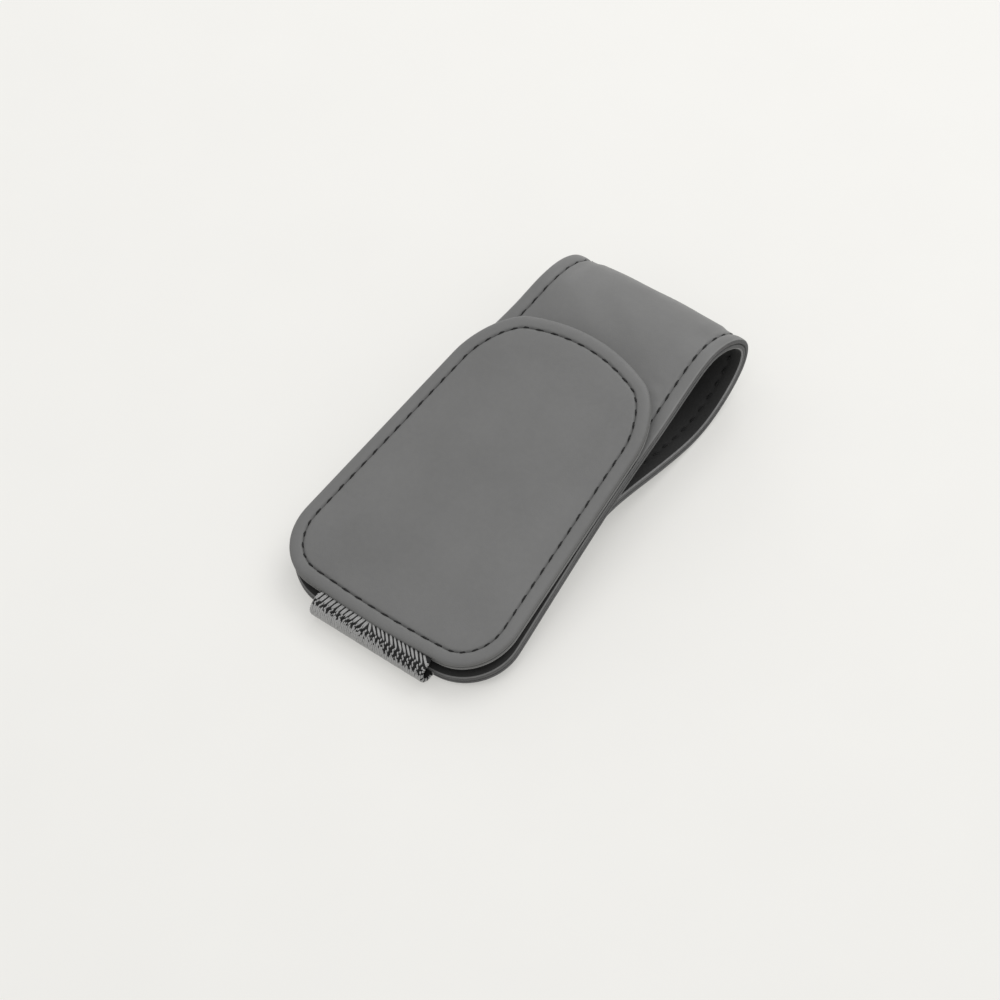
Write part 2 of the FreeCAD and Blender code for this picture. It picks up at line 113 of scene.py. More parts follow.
def flap_half(n=24):
    f = FLAP
    pts, p3 = bottom_half(f["wb"], f["wt"], f["L"], f["cs"], f["cb"], f["arch"], n)
    side = unit(np.array([f["wt"] - f["wb"], f["L"]]))
    q0 = np.array([f["wt"], f["L"]]) - side * f["ct"][0]
    xt = f["wt"] - f["ct"][1]
    top = lambda x: f["L"] + f["top"] * (1 - (x / f["wt"]) ** 2)
    q3 = np.array([xt, top(xt)])
    d = unit(np.array([-1.0, 2 * f["top"] * xt / f["wt"] ** 2]))
    t = np.linspace(0, 1, n, endpoint=False)[:, None]
    xs = np.linspace(xt, 0, n + 1)
    return np.vstack([pts, p3 + (q0 - p3) * t,
                      bez(q0, q0 + side * f["ct"][0] * K, q3 - d * f["ct"][1] * K, q3, n), np.c_[xs, top(xs)]])

# ---------------------------------------------------------------- strap side profile, by arc length
def natural_spline(t, v, q):
    n = len(t)
    h = np.diff(t)
    A = np.zeros((n, n)); r = np.zeros(n)
    A[0, 0] = A[-1, -1] = 1
    for i in range(1, n - 1):
        A[i, i - 1], A[i, i], A[i, i + 1] = h[i - 1], 2 * (h[i - 1] + h[i]), h[i]
        r[i] = 6 * ((v[i + 1] - v[i]) / h[i] - (v[i] - v[i - 1]) / h[i - 1])
    m = np.linalg.solve(A, r)
    i = np.clip(np.searchsorted(t, q) - 1, 0, n - 2)
    a, b = t[i + 1] - q, q - t[i]
    return (m[i] * a ** 3 + m[i + 1] * b ** 3) / (6 * h[i]) + (v[i] / h[i] - m[i] * h[i] / 6) * a + (v[i + 1] / h[i] - m[i + 1] * h[i] / 6) * b

_d = np.r_[0, np.cumsum(np.hypot(*np.diff(PROFILE, axis=0).T))]
_q = np.linspace(0, _d[-1], 6001)
_y, _z = natural_spline(_d, PROFILE[:, 0], _q), natural_spline(_d, PROFILE[:, 1], _q)
_s = np.r_[0, np.cumsum(np.hypot(np.diff(_y), np.diff(_z)))]
_t = unit(np.c_[np.gradient(_y, _s), np.gradient(_z, _s)])
S_END = _s[-1]
S_T = _s[np.argmax(_y)]
_kT = int(np.argmax(_y))

def at(s):
    s = np.asarray(s, float)
    y, z = np.interp(s, _s, _y), np.interp(s, _s, _z)
    ty, tz = np.interp(s, _s, _t[:, 0]), np.interp(s, _s, _t[:, 1])
    n = np.hypot(ty, tz); ty, tz = ty / n, tz / n
    lo, hi = np.minimum(s, 0), np.maximum(s - S_END, 0)
    return y + ty * (lo + hi), z + tz * (lo + hi), ty, tz

def s_top(y):
    return np.interp(y, _y[:_kT + 1], _s[:_kT + 1])

def s_tail(y):
    return np.interp(-np.asarray(y, float), -_y[_kT:], _s[_kT:])

def M(x, s, d):
    """unrolled strap point (x, arc length, depth below the outer side) -> design mm"""
    y, z, ty, tz = at(s)
    x = np.broadcast_to(x, np.shape(y))
    return np.stack([x, y + tz * d + SHEAR * x, z - ty * d], -1)

def base_width_s(s):
    y = at(s)[0]
    wb, wt = BASE["wb"], BASE_SIDE[0][1]
    side = [(10.5, wb + (wt - wb) * 10.5 / 60), (30.0, wb + (wt - wb) * .5), (46.0, wb + (wt - wb) * 46 / 60.0)] + BASE_SIDE
    return hermite(side, y - BASE["shift"])

def skew_s(s):
    y = at(s)[0]
    return np.where(np.asarray(s) < S_T, BASE["skew"] * np.maximum(0.0, 1.0 - np.maximum(y - 0.0, 0.0) / 60.0), 0.0)

def strap_outline_half():
    """unrolled (x, s) from the base end's centre to the tail end's centre"""
    wb, wt = BASE["wb"], BASE_SIDE[0][1]
    pts, p3 = bottom_half(wb, wt, 60.0, BASE["cs"], BASE["cb"], FLAP["arch"])
    pts = pts + np.array([0, BASE["shift"]])
    a = np.c_[pts[:, 0], s_top(pts[:, 1])]
    s0 = float(s_top(p3[1] + BASE["shift"]))
    sa = np.linspace(s0, S_T, 120, endpoint=False)
    b = np.c_[base_width_s(sa), sa]
    y0, arch, cr = 14.0, 1.2, (8.0, 8.0)
    sb = np.linspace(S_T, float(s_tail(y0 + cr[0])), 120, endpoint=False)
    c = np.c_[hermite(TAIL_SIDE, at(sb)[0]), sb]
    w_end = float(hermite(TAIL_SIDE, y0))
    xb = w_end - cr[1]
    end = lambda x: y0 - arch * (1 - (x / w_end) ** 2)
    p0 = np.array([xb, end(xb)])
    q3 = np.array([float(hermite(TAIL_SIDE, y0 + cr[0])), y0 + cr[0]])
    d = unit(np.array([1.0, 2 * arch * xb / w_end ** 2]))
    sd = unit(np.array([float(hermite(TAIL_SIDE, q3[1] + 1)) - q3[0], 1.0]))
    xs = np.linspace(0, xb, 24, endpoint=False)
    t = np.vstack([np.c_[xs, end(xs)], bez(p0, p0 + d * cr[1] * K, q3 - sd * cr[0] * K, q3, 24)])[::-1]
    e = np.c_[t[:, 0], s_tail(t[:, 1])]
    return np.vstack([a, b, c, e])

def mirror_closed(half):
    left = half[::-1].copy(); left[:, 0] *= -1
    full = np.vstack([half, left])
    keep = np.r_[True, np.hypot(*np.diff(full, axis=0).T) > 1e-6]
    full = full[keep]
    if np.hypot(*(full[0] - full[-1])) < 1e-6:
        full = full[:-1]
    return full

def resample_closed(c, n, phase=0.0):
    c2 = np.vstack([c, c[:1]])
    d = np.r_[0, np.cumsum(np.hypot(*np.diff(c2, axis=0).T))]
    q = (np.linspace(0, d[-1], n, endpoint=False) + phase) % d[-1]
    return np.c_[np.interp(q, d, c2[:, 0]), np.interp(q, d, c2[:, 1])], d[-1]

def normals_closed(c):
    t = np.roll(c, -1, 0) - np.roll(c, 1, 0)
    t = unit(t)
    for _ in range(2):
        t = unit(np.roll(t, 1, 0) + 2 * t + np.roll(t, -1, 0))
    return np.c_[-t[:, 1], t[:, 0]]      # inward for a counter-clockwise outline

# ---------------------------------------------------------------- mesh helpers
def make_object(name, verts, faces, mats, fmat=None, smooth=True):
    me = bpy.data.meshes.new(name)
    me.from_pydata([tuple(v) for v in verts], [], [tuple(int(i) for i in f) for f in faces])
    for m in mats:
        me.materials.append(m)
    if fmat is not None:
        me.polygons.foreach_set("material_index", np.asarray(fmat, np.int32))
    me.polygons.foreach_set("use_smooth", np.full(len(me.polygons), smooth))
    me.update()
    me.validate()
    ob = bpy.data.objects.new(name, me)
    bpy.context.scene.collection.objects.link(ob)
    return ob

def mesh_from_bm(name, bm, mats):
    me = bpy.data.meshes.new(name)
    bm.to_mesh(me)
    bm.free()
    for m in mats:
        me.materials.append(m)
    ob = bpy.data.objects.new(name, me)
    bpy.context.scene.collection.objects.link(ob)
    return ob

# ---------------------------------------------------------------- materials
def srgb(v):
    v = v / 255.0
    return v / 12.92 if v <= 0.04045 else ((v + 0.055) / 1.055) ** 2.4

def nodes_of(name):
    m = bpy.data.materials.new(name)
    m.use_nodes = True
    nt = m.node_tree
    b = nt.nodes["Principled BSDF"]
    tc = nt.nodes.new("ShaderNodeTexCoord")
    return m, nt, b, tc

def noise(nt, tc, scale, detail=3.0, rough=0.55, stretch=None, kind="noise"):
    src = tc.outputs["Object"]
    if stretch is not None:
        mp = nt.nodes.new("ShaderNodeMapping")
        mp.inputs["Scale"].default_value = stretch
        nt.links.new(src, mp.inputs["Vector"])
        src = mp.outputs["Vector"]
    if kind == "noise":
        n = nt.nodes.new("ShaderNodeTexNoise")
        n.inputs["Scale"].default_value = scale
        n.inputs["Detail"].default_value = detail
        n.inputs["Roughness"].default_value = rough
        nt.links.new(src, n.inputs["Vector"])
        return n.outputs["Fac"]
    n = nt.nodes.new("ShaderNodeTexVoronoi")
    n.feature = "DISTANCE_TO_EDGE" if kind == "edge" else "F1"
    n.inputs["Scale"].default_value = scale
    nt.links.new(src, n.inputs["Vector"])
    return n.outputs["Distance"]

def ramp(nt, fac, stops):
    r = nt.nodes.new("ShaderNodeValToRGB")
    el = r.color_ramp.elements
    while len(el) < len(stops):
        el.new(0.5)
    for e, (p, c) in zip(el, stops):
        e.position = p
        e.color = (c[0], c[1], c[2], 1) if isinstance(c, (tuple, list)) else (c, c, c, 1)
    nt.links.new(fac, r.inputs["Fac"])
    return r.outputs["Color"]

def math_node(nt, op, a, b, clamp=False):
    n = nt.nodes.new("ShaderNodeMath")
    n.operation = op
    n.use_clamp = clamp
    for i, v in enumerate((a, b)):
        if isinstance(v, (int, float)):
            n.inputs[i].default_value = v
        else:
            nt.links.new(v, n.inputs[i])
    return n.outputs[0]

def bump(nt, b, layers):
    prev = None
    for h, strength, dist in layers:
        n = nt.nodes.new("ShaderNodeBump")
        n.inputs["Strength"].default_value = strength
        n.inputs["Distance"].default_value = dist
        nt.links.new(h, n.inputs["Height"])
        if prev is not None:
            nt.links.new(prev, n.inputs["Normal"])
        prev = n.outputs["Normal"]
    nt.links.new(prev, b.inputs["Normal"])

def leather(name, g, tint=(1.0, 1.0, 0.985), rough=(0.50, 0.62), grain=1.0, mottle=0.06, spec=0.42):
    m, nt, b, tc = nodes_of(name)
    broad = noise(nt, tc, 55.0, 3.0)
    fine = noise(nt, tc, 900.0, 4.0, 0.6)
    mix = math_node(nt, "ADD", math_node(nt, "MULTIPLY", broad, 0.72), math_node(nt, "MULTIPLY", fine, 0.28))
    lo, hi = g * (1 - mottle), g * (1 + mottle)
    c = ramp(nt, mix, [(0.34, tuple(lo * t for t in tint)), (0.66, tuple(hi * t for t in tint))])
    nt.links.new(c, b.inputs["Base Color"])
    rr = ramp(nt, noise(nt, tc, 160.0, 3.0), [(0.3, rough[0]), (0.7, rough[1])])
    nt.links.new(rr, b.inputs["Roughness"])
    b.inputs["Specular IOR Level"].default_value = spec
    b.inputs["Sheen Weight"].default_value = 0.06
    b.inputs["Sheen Roughness"].default_value = 0.5
    cells = noise(nt, tc, 2600.0, kind="edge")
    cells2 = noise(nt, tc, 1500.0, 5.0, 0.65)
    wide = noise(nt, tc, 240.0, 2.0)
    bump(nt, b, [(wide, 0.10 * grain, 0.0006), (cells2, 0.30 * grain, 0.00006), (cells, 0.35 * grain, 0.00005)])
    return m

def cloth(name, g, tint=(1, 1, 1), rough=0.92, sheen=0.25, scale=2200.0, var=0.25, depth=0.00006, stretch=None):
    m, nt, b, tc = nodes_of(name)
    f = noise(nt, tc, scale, 5.0, 0.7, stretch)
    wide = noise(nt, tc, 120.0, 3.0)
    mix = math_node(nt, "ADD", math_node(nt, "MULTIPLY", f, 0.65), math_node(nt, "MULTIPLY", wide, 0.35))
    c = ramp(nt, mix, [(0.32, tuple(g * (1 - var) * t for t in tint)), (0.68, tuple(g * (1 + var) * t for t in tint))])
    nt.links.new(c, b.inputs["Base Color"])
    r = ramp(nt, f, [(0.2, rough - 0.06), (0.8, min(1.0, rough + 0.06))])
    nt.links.new(r, b.inputs["Roughness"])
    b.inputs["Specular IOR Level"].default_value = 0.25
    b.inputs["Sheen Weight"].default_value = sheen
    b.inputs["Sheen Roughness"].default_value = 0.45
    bump(nt, b, [(f, 0.5, depth)])
    return m

def nickel(name):
    m, nt, b, tc = nodes_of(name)
    f = noise(nt, tc, 500.0, 4.0, 0.6, stretch=(1, 1, 6))
    nt.links.new(ramp(nt, f, [(0.2, (0.55, 0.54, 0.51)), (0.8, (0.68, 0.67, 0.63))]), b.inputs["Base Color"])
    nt.links.new(ramp(nt, f, [(0.2, 0.22), (0.8, 0.38)]), b.inputs["Roughness"])
    b.inputs["Metallic"].default_value = 1.0
    bump(nt, b, [(f, 0.15, 0.00002)])
    return m

G = srgb(116)
mat_face = leather("leather_face", G * 0.93, mottle=0.07)
mat_strap = leather("leather_strap", G * 0.92, rough=(0.46, 0.58))
mat_edge = cloth("leather_cut_edge", srgb(92), rough=0.85, sheen=0.1, scale=3000.0, var=0.38, depth=0.00006)
# painted shade: the flap's sides get a darker copy of the face leather, for the shade on the sides
mat_flap_side_painted_shade = leather("leather_flap_side_painted_shade", G * 0.80, rough=(0.55, 0.7), mottle=0.12)
# painted shade: the seam groove's floor gets the leather at half its tone, for the shade that falls in the groove
mat_groove_painted_shade = leather("leather_seam_groove_painted_shade", G * 0.50, rough=(0.6, 0.75), mottle=0.2)
# painted highlight: a lighter leather along the outer corner of the face ply's edge, standing in for light caught on
# the rounded corner
mat_edge_painted_highlight = leather("leather_edge_painted_highlight", G * 1.10, rough=(0.45, 0.6), mottle=0.14)
# a lighter line along the outer corner of the lining ply's edge
mat_rim = cloth("lining_edge_light_line", srgb(140), rough=0.85, sheen=0.2, scale=3800.0, var=0.35, depth=0.00004)
mat_lining = cloth("napped_lining", srgb(58), tint=(1, 1, 0.99), rough=0.93, sheen=0.12, scale=2400.0, var=0.20)
mat_core = cloth("stiffener_sheet", srgb(34), rough=0.9, sheen=0.05, scale=1500.0)
mat_thread = cloth("seam_thread", srgb(26), rough=0.46, sheen=0.1, scale=5200.0, var=0.4, depth=0.00003, stretch=(1, 1, 1))
mat_yarn = cloth("elastic_light_yarn", srgb(168), tint=(1, 1, 0.99), rough=0.86, sheen=0.25, scale=4200.0, var=0.22, depth=0.00005)
mat_yarn_dark = cloth("elastic_dark_yarn", srgb(34), rough=0.9, sheen=0.1, scale=3600.0, var=0.4)
mat_web = cloth("elastic_web", srgb(40), rough=0.92, sheen=0.15, scale=3600.0, var=0.5)
mat_nickel = nickel("nickel_plate")

# ---------------------------------------------------------------- two-ply panels
PITCH = 3.05

def pucker(arc, total, k=1.0):
    n = max(1, int(round(total / PITCH)))
    return 0.5 + 0.5 * np.cos(2 * np.pi * arc / total * n)     # 1 at a needle hole

# (inset, depth) of a ply's section, from its hidden side round the edge to its face
FACE_SECTION = [(2.0, 0.98), (1.0, 0.98), (0.40, 0.985), (0.12, 0.965), (0.03, 0.92), (0.0, 0.84), (0.0, 0.62), (0.0, 0.42), (0.03, 0.27),
                (0.09, 0.15), (0.19, 0.065), (0.34, 0.015), (0.60, -0.025), (0.95, -0.05), (1.35, -0.055), (1.72, -0.03), (2.00, 0.015),
                (2.20, 0.07), (2.34, 0.14), (2.45, 0.25), (2.56, 0.31), (2.67, 0.25), (2.78, 0.14), (2.93, 0.07), (3.20, 0.02), (3.65, -0.01), (4.3, -0.04)]
SOFT_SECTION = [(2.0, 0.98), (1.0, 0.98), (0.40, 0.985), (0.14, 0.96), (0.04, 0.90), (0.0, 0.79), (0.0, 0.62), (0.03, 0.46), (0.10, 0.32), (0.20, 0.21),
                (0.34, 0.125), (0.54, 0.055), (0.82, 0.0), (1.12, -0.03), (1.45, -0.035), (1.76, -0.01)] + FACE_SECTION[16:]
# rings of the groove's floor, which take the painted groove shade
GROOVE_SHADE_RINGS = (19, 21)
BACK_SECTION = [(2.0, 1.12), (1.0, 1.12), (0.42, 1.115), (0.12, 1.135), (0.03, 1.18), (0.0, 1.27), (0.0, 1.45), (0.0, 1.68), (0.02, 1.83), (0.06, 1.93),
                (0.13, 2.005), (0.25, 2.06), (0.50, 2.09), (0.85, 2.10), (1.2, 2.10), (1.6, 2.08), (1.95, 2.045), (2.20, 1.99), (2.40, 1.91), (2.58, 1.87), (2.76, 1.91),
                (2.98, 1.99), (3.3, 2.05), (3.8, 2.085), (4.3, 2.10)]

def panel(outline, n, section, mapper, medial, crown, stitch_at, mats, edge_rings, rim_rings, pucker_amp=0.10, inner=9, thin=1.0, seam_phase=0.0):
    """rings over one ply.  mapper(x, v, depth) -> design mm.  Returns verts, faces, material ids and the plan coordinates."""
    ring0, total = resample_closed(outline, n)
    nrm = normals_closed(ring0)
    arc = np.arange(n) / n * total
    pk = pucker(arc + seam_phase, total)
    P, D = [], []
    for inset, depth in section:
        q = ring0 + nrm * inset
        g = math.exp(-((inset - stitch_at) / 0.24) ** 2)
        side = math.exp(-((abs(inset - stitch_at) - 0.42) / 0.22) ** 2)
        sign = 1.0 if section is not BACK_SECTION and depth < 1.05 else -1.0
        dd = depth + sign * pucker_amp * (g * (pk - 0.5) * 1.4 - side * (pk - 0.4) * 0.35) * (1 if 1.6 < inset < 3.6 else 0)
        P.append(q); D.append(np.broadcast_to(dd, (n,)).copy())
    last, dl = P[-1], D[-1]
    m = medial(last)
    for k in range(1, inner + 1):
        t = k / inner
        t2 = t
        q = last + (m - last) * t2
        P.append(q)
        D.append(dl + crown(q, t))
    # hidden side closes on the same medial line, flat
    first, df = P[0], D[0]
    m0 = medial(first)
    Q, E = [], []
    for k in range(1, 4):
        t = k / 3.0
        Q.append(first + (m0 - first) * t); E.append(df * 1.0)
    P = Q[::-1] + P
    D = E[::-1] + D
    off = len(Q)
    P, D = np.array(P), np.array(D)
    R = len(P)
    verts = mapper(P[..., 0], P[..., 1], D).reshape(-1, 3)
    plan = np.concatenate([P, D[..., None]], -1).reshape(-1, 3)
    faces, fm = [], []
    idx = np.arange(R * n).reshape(R, n)
    for r in range(R - 1):
        a, b = idx[r], idx[r + 1]
        ring = r - off
        k = 2 if rim_rings[0] <= ring < rim_rings[1] else 1 if edge_rings[0] <= ring < edge_rings[1] else 0
        # the groove's floor rings take the painted-shade material
        if section is not BACK_SECTION and len(section) > 20 and GROOVE_SHADE_RINGS[0] <= ring < GROOVE_SHADE_RINGS[1]:
            k = 3
        q = np.stack([a, np.roll(a, -1), np.roll(b, -1), b], 1)
        faces.append(q); fm.append(np.full(n, k))
    return verts, np.vstack(faces), np.concatenate(fm), plan

def finish_panel(name, verts, faces, fm, plan, mats, cuts=None, flip=False):
    """builds one object, or with cuts=[(name, lo, hi), ...] one per stretch of the unrolled length"""
    out = []
    stretches = cuts or [(name, None, None)]
    for nm, lo, hi in stretches:
        bm = bmesh.new()
        vs = [bm.verts.new(p) for p in plan]
        bm.verts.ensure_lookup_table()
        for f, k in zip(faces, fm):
            try:
                fc = bm.faces.new([vs[i] for i in (f if not flip else f[::-1])])
                fc.material_index = int(k)
                fc.smooth = True
            except ValueError:
                pass
        bmesh.ops.remove_doubles(bm, verts=bm.verts, dist=1e-4)
        bm.edges.ensure_lookup_table()
        for s_cut, outer in ((lo, False), (hi, True)):
            if s_cut is None:
                continue
            g = bm.verts[:] + bm.edges[:] + bm.faces[:]
            r = bmesh.ops.bisect_plane(bm, geom=g, dist=1e-6, plane_co=(0, s_cut, 0), plane_no=(0, 1, 0),
                                       clear_outer=outer, clear_inner=not outer)
            edges = [e for e in r["geom_cut"] if isinstance(e, bmesh.types.BMEdge)]
            cap = bmesh.ops.holes_fill(bm, edges=edges, sides=0)
            for f in cap["faces"]:
                f.smooth = False
                f.material_index = 1
                for e in f.edges:
                    e.smooth = False
        yield_name = nm
        bm.verts.ensure_lookup_table()
        out.append((yield_name, bm))
    return out

def identity_map(x, v, d):
    return np.stack([x, v, -d], -1)

def apply_map(bm, mapper):
    co = np.array([v.co[:] for v in bm.verts])
    p = W(mapper(co[:, 0], co[:, 1], co[:, 2]))
    for v, c in zip(bm.verts, p):
        v.co = c

def build(name, pieces, mapper, mats):
    obs = []
    for nm, bm in pieces:
        apply_map(bm, mapper)
        bmesh.ops.recalc_face_normals(bm, faces=bm.faces)
        obs.append(mesh_from_bm(nm, bm, mats))
    return obs

# ---- flap
flap_out = mirror_closed(flap_half())
flap_medial = lambda q: np.c_[np.zeros(len(q)), np.clip(q[:, 1], 22.0, 44.0)]
N_FLAP = 1024

def flap_crown(q, t):
    x, y = q[:, 0], q[:, 1]
    w = np.clip(1 - (x / 21.0) ** 2, 0, 1) * np.clip((y - 2.0) / 14.0, 0, 1) * np.clip((62.5 - y) / 14.0, 0, 1)
    w = w * w * (3 - 2 * w)
    return -0.34 * w - 0.02 * np.sin(x * 0.31 + 1.0) * np.sin(y * 0.17) * w

# the edge rings of both flap plies take the darker painted-shade side leather
v_, f_, m_, p_ = panel(flap_out, N_FLAP, SOFT_SECTION, identity_map, flap_medial, flap_crown, 2.55, None, (3, 8), (-1, -1), 0.11, 14)
flap_face = build("flap_leather_face", finish_panel("flap_leather_face", v_, f_, m_, p_, None), identity_map, [mat_face, mat_flap_side_painted_shade, mat_edge_painted_highlight, mat_groove_painted_shade])[0]
v_, f_, m_, p_ = panel(flap_out, N_FLAP, BACK_SECTION, identity_map, flap_medial, lambda q, t: np.zeros(len(q)), 2.55, None, (2, 7), (7, 9), 0.06, 6)
flap_back = build("flap_leather_back", finish_panel("flap_leather_back", v_, f_, m_, p_, None), identity_map, [mat_lining, mat_flap_side_painted_shade, mat_rim])[0]
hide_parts("flap_front_skin"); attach(flap_face, "flap")
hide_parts("flap_lining"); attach(flap_back, "flap")

# ---- strap, one continuous strip in three stretches that meet face to face
strap_out = mirror_closed(strap_outline_half())
strap_out[:, 0] += skew_s(strap_out[:, 1])
_w = np.clip((70.0 - at(strap_out[:, 1])[0]) / 20.0, 0, 1)
strap_out[:, 1] += np.where(strap_out[:, 1] < S_T, -1.0, 1.0) * SHEAR * strap_out[:, 0] * _w
S_A = float(s_top(55.0)); S_B = float(s_tail(55.0))
S_SLOT = float(s_top(50.0))
S_LEN = strap_out[:, 1].max()
def strap_medial(q):
    s = np.clip(q[:, 1], 22.0, S_LEN - 18.0)
    return np.c_[skew_s(s), s]
N_STRAP = 2200

def loop_amount(s):
    up = np.clip((s - float(s_top(58.0))) / 12.0, 0, 1)
    dn = np.clip((S_T + 13.0 - s) / 12.0, 0, 1)
    a = up * up * (3 - 2 * up) * dn * dn * (3 - 2 * dn)
    return a

def strap_crown(q, t):
    x, s = q[:, 0], q[:, 1]
    w = np.clip(1 - (x / 16.6) ** 2, 0, 1) ** 0.6
    a = loop_amount(s)
    s0 = float(s_top(63.5))
    near = np.exp(-((np.abs(x) - 14.6) / 2.3) ** 2 - ((s - s0) / 5.0) ** 2) * np.where(x > 0, 1.0, 0.35)
    crease = 0.075 * near * np.sin(s * 2.1 + x * 1.7) + 0.05 * near * np.sin(s * 1.2 - x * 2.6)
    soft = crease / np.maximum(a * w, 0.15) + 0.05 * np.sin(s * 0.42 + x * 0.12) * np.sin(x * 0.33 + 0.6) + 0.03 * np.sin(s * 0.9 + x * 0.5)
    return -(0.55 * a + 0.04) * w - soft * a * w

# rings 9 to 11 of the strap's face ply take the painted edge highlight
v_, f_, m_, p_ = panel(strap_out, N_STRAP, FACE_SECTION, M, strap_medial, strap_crown, 2.70, None, (3, 9), (9, 11), 0.11, 12)
outer = build("strap", finish_panel("strap", v_, f_, m_, p_, None,
              cuts=[("slot_lining_patch", None, S_SLOT), ("strap_leather_base", S_SLOT, S_A), ("strap_leather_loop", S_A, S_B), ("strap_leather_tail", S_B, None)]),
              M, [mat_strap, mat_edge, mat_edge_painted_highlight, mat_groove_painted_shade])
slot_patch, strap_base, strap_loop, strap_tail = outer
slot_patch.data.materials[0] = mat_lining
v_, f_, m_, p_ = panel(strap_out, N_STRAP, BACK_SECTION, M, strap_medial, lambda q, t: np.zeros(len(q)), 2.70, None, (2, 8), (8, 11), 0.06, 8)
lin = build("lining", finish_panel("lining", v_, f_, m_, p_, None,
            cuts=[("strap_lining_base", None, S_A), ("strap_lining_loop", S_A, S_B), ("strap_lining_tail", S_B, None)]),
            M, [mat_lining, mat_edge, mat_rim])
lin_base, lin_loop, lin_tail = lin

# stiffener sheet between the plies, set back from the edge: its edge is the dark line
CORE_SECTION = [(2.0, 1.14), (0.9, 1.14), (0.55, 1.14), (0.42, 1.12), (0.36, 1.05), (0.42, 0.98), (0.55, 0.96), (0.9, 0.96), (2.0, 0.96)]
v_, f_, m_, p_ = panel(strap_out, 700, CORE_SECTION, M, strap_medial, lambda q, t: np.zeros(len(q)), 99.0, None, (-9, -9), (-9, -9), 0.0, 3)
core = build("core", finish_panel("core", v_, f_, m_, p_, None,
             cuts=[("strap_stiffener_base", None, S_A), ("strap_stiffener_loop", S_A, S_B), ("strap_stiffener_tail", S_B, None)]),
             M, [mat_core, mat_core, mat_core])
core_base, core_loop, core_tail = core

for o in (slot_patch, strap_base, lin_base, core_base):
    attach(o, "strap")
for o in (strap_tail, lin_tail, core_tail):
    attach(o, "tail")
for o in (strap_loop, lin_loop, core_loop):
    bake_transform(o)
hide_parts("slot_lining"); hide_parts("base_outer_skin"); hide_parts("tail_outer_skin")
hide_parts("base_lining"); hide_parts("tail_lining")
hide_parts("base_stiffener"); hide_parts("tail_stiffener")

# ---------------------------------------------------------------- stitches
def thread_mesh(path_pts, up_vecs, side_vecs, radius, twist, sides=9):
    """tube along path_pts (k,3) with a two-strand twist"""
    k = len(path_pts)
    verts, faces = [], []
    for i in range(k):
        u = i / (k - 1)
        r = radius * (0.30 + 0.70 * math.sin(math.pi * u) ** 0.75) if 0 < u < 1 else radius * 0.25
        for j in range(sides):
            a = 2 * math.pi * j / sides
            rr = r * (1 + 0.20 * math.cos(2 * (a - twist * u)))
            verts.append(path_pts[i] + (side_vecs[i] * math.cos(a) + up_vecs[i] * math.sin(a)) * rr)
    for i in range(k - 1):
        for j in range(sides):
            a, b = i * sides + j, i * sides + (j + 1) % sides
            faces.append((a, b, b + sides, a + sides))
    faces.append(tuple(range(sides))[::-1])
    faces.append(tuple((k - 1) * sides + j for j in range(sides)))
    return np.array(verts), faces

def stitch_line(outline, inset, mapper, face_depth, out_sign, keep=lambda v: True, length=2.05, radius=0.185, lift=0.0, phase=0.0, slant=0.11):
    """stitches along the outline's inset line; out_sign -1: face side (outwards is less depth), +1: lining side"""
    n = 2400
    ring0, total = resample_closed(outline, n)
    ring = ring0 + normals_closed(ring0) * inset
    count = int(round(total / PITCH))
    V_, F_, base = [], [], 0
    for i in range(count):
        c = (i + 0.5) * total / count + phase + rng.uniform(-0.07, 0.07)
        L = length * rng.uniform(0.93, 1.05)
        k = 9
        q = (c + np.linspace(-L / 2, L / 2, k)) / total * n
        i0 = np.floor(q).astype(int) % n
        fr = (q - np.floor(q))[:, None]
        pl = ring[i0] * (1 - fr) + ring[(i0 + 1) % n] * fr
        if not keep(pl[k // 2][1]):
            continue
        tdir = unit(pl[-1] - pl[0])
        nd = np.array([-tdir[1], tdir[0]])
        off = np.linspace(-1, 1, k) * slant * (1 + rng.uniform(-0.5, 0.5)) + rng.uniform(-0.03, 0.03)
        pl = pl + nd * off[:, None]
        u = np.linspace(-1, 1, k)
        dep = face_depth + out_sign * (lift + 0.02 - 0.34 * np.abs(u) ** 2.6)
        P3 = mapper(pl[:, 0], pl[:, 1], dep)
        Pu = mapper(pl[:, 0], pl[:, 1], dep + out_sign * 0.3)
        up = unit(Pu - P3)
        tan = unit(np.gradient(P3, axis=0))
        side = unit(np.cross(tan, up))
        v, f = thread_mesh(P3, up, side, radius * rng.uniform(0.92, 1.06), 7.0 + rng.uniform(-1, 1))
        V_.append(v); F_ += [tuple(int(a) + base for a in ff) for ff in f]; base += len(v)
    return W(np.vstack(V_)), F_

def stitch_object(name, parts):
    V_, F_, base = [], [], 0
    for v, f in parts:
        V_.append(v); F_ += [tuple(a + base for a in ff) for ff in f]; base += len(v)
    o = make_object(name, np.vstack(V_), F_, [mat_thread])
    bm = bmesh.new(); bm.from_mesh(o.data); bmesh.ops.recalc_face_normals(bm, faces=bm.faces); bm.to_mesh(o.data); bm.free()
    return o

flap_seam = stitch_object("flap_seam_thread", [
    stitch_line(flap_out, 2.56, identity_map, 0.15, -1),
    stitch_line(flap_out, 2.57, identity_map, 1.95, +1, length=2.1, radius=0.19, phase=1.5)])
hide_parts("flap_stitching"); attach(flap_seam, "flap")

def strap_seam(name, keep):
    o = stitch_object(name, [
        stitch_line(strap_out, 2.58, M, 0.15, -1, keep=keep),
        stitch_line(strap_out, 2.58, M, 1.95, +1, keep=keep, length=2.1, radius=0.20, phase=1.5)])
    return o
seam_base = strap_seam("strap_seam_thread_base", lambda s: s < S_A)
seam_loop = strap_seam("strap_seam_thread_loop", lambda s: S_A <= s <= S_B)
seam_tail = strap_seam("strap_seam_thread_tail", lambda s: s > S_B)
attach(seam_base, "strap"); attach(seam_tail, "tail")
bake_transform(seam_loop)
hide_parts("base_stitching"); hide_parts("tail_stitching")

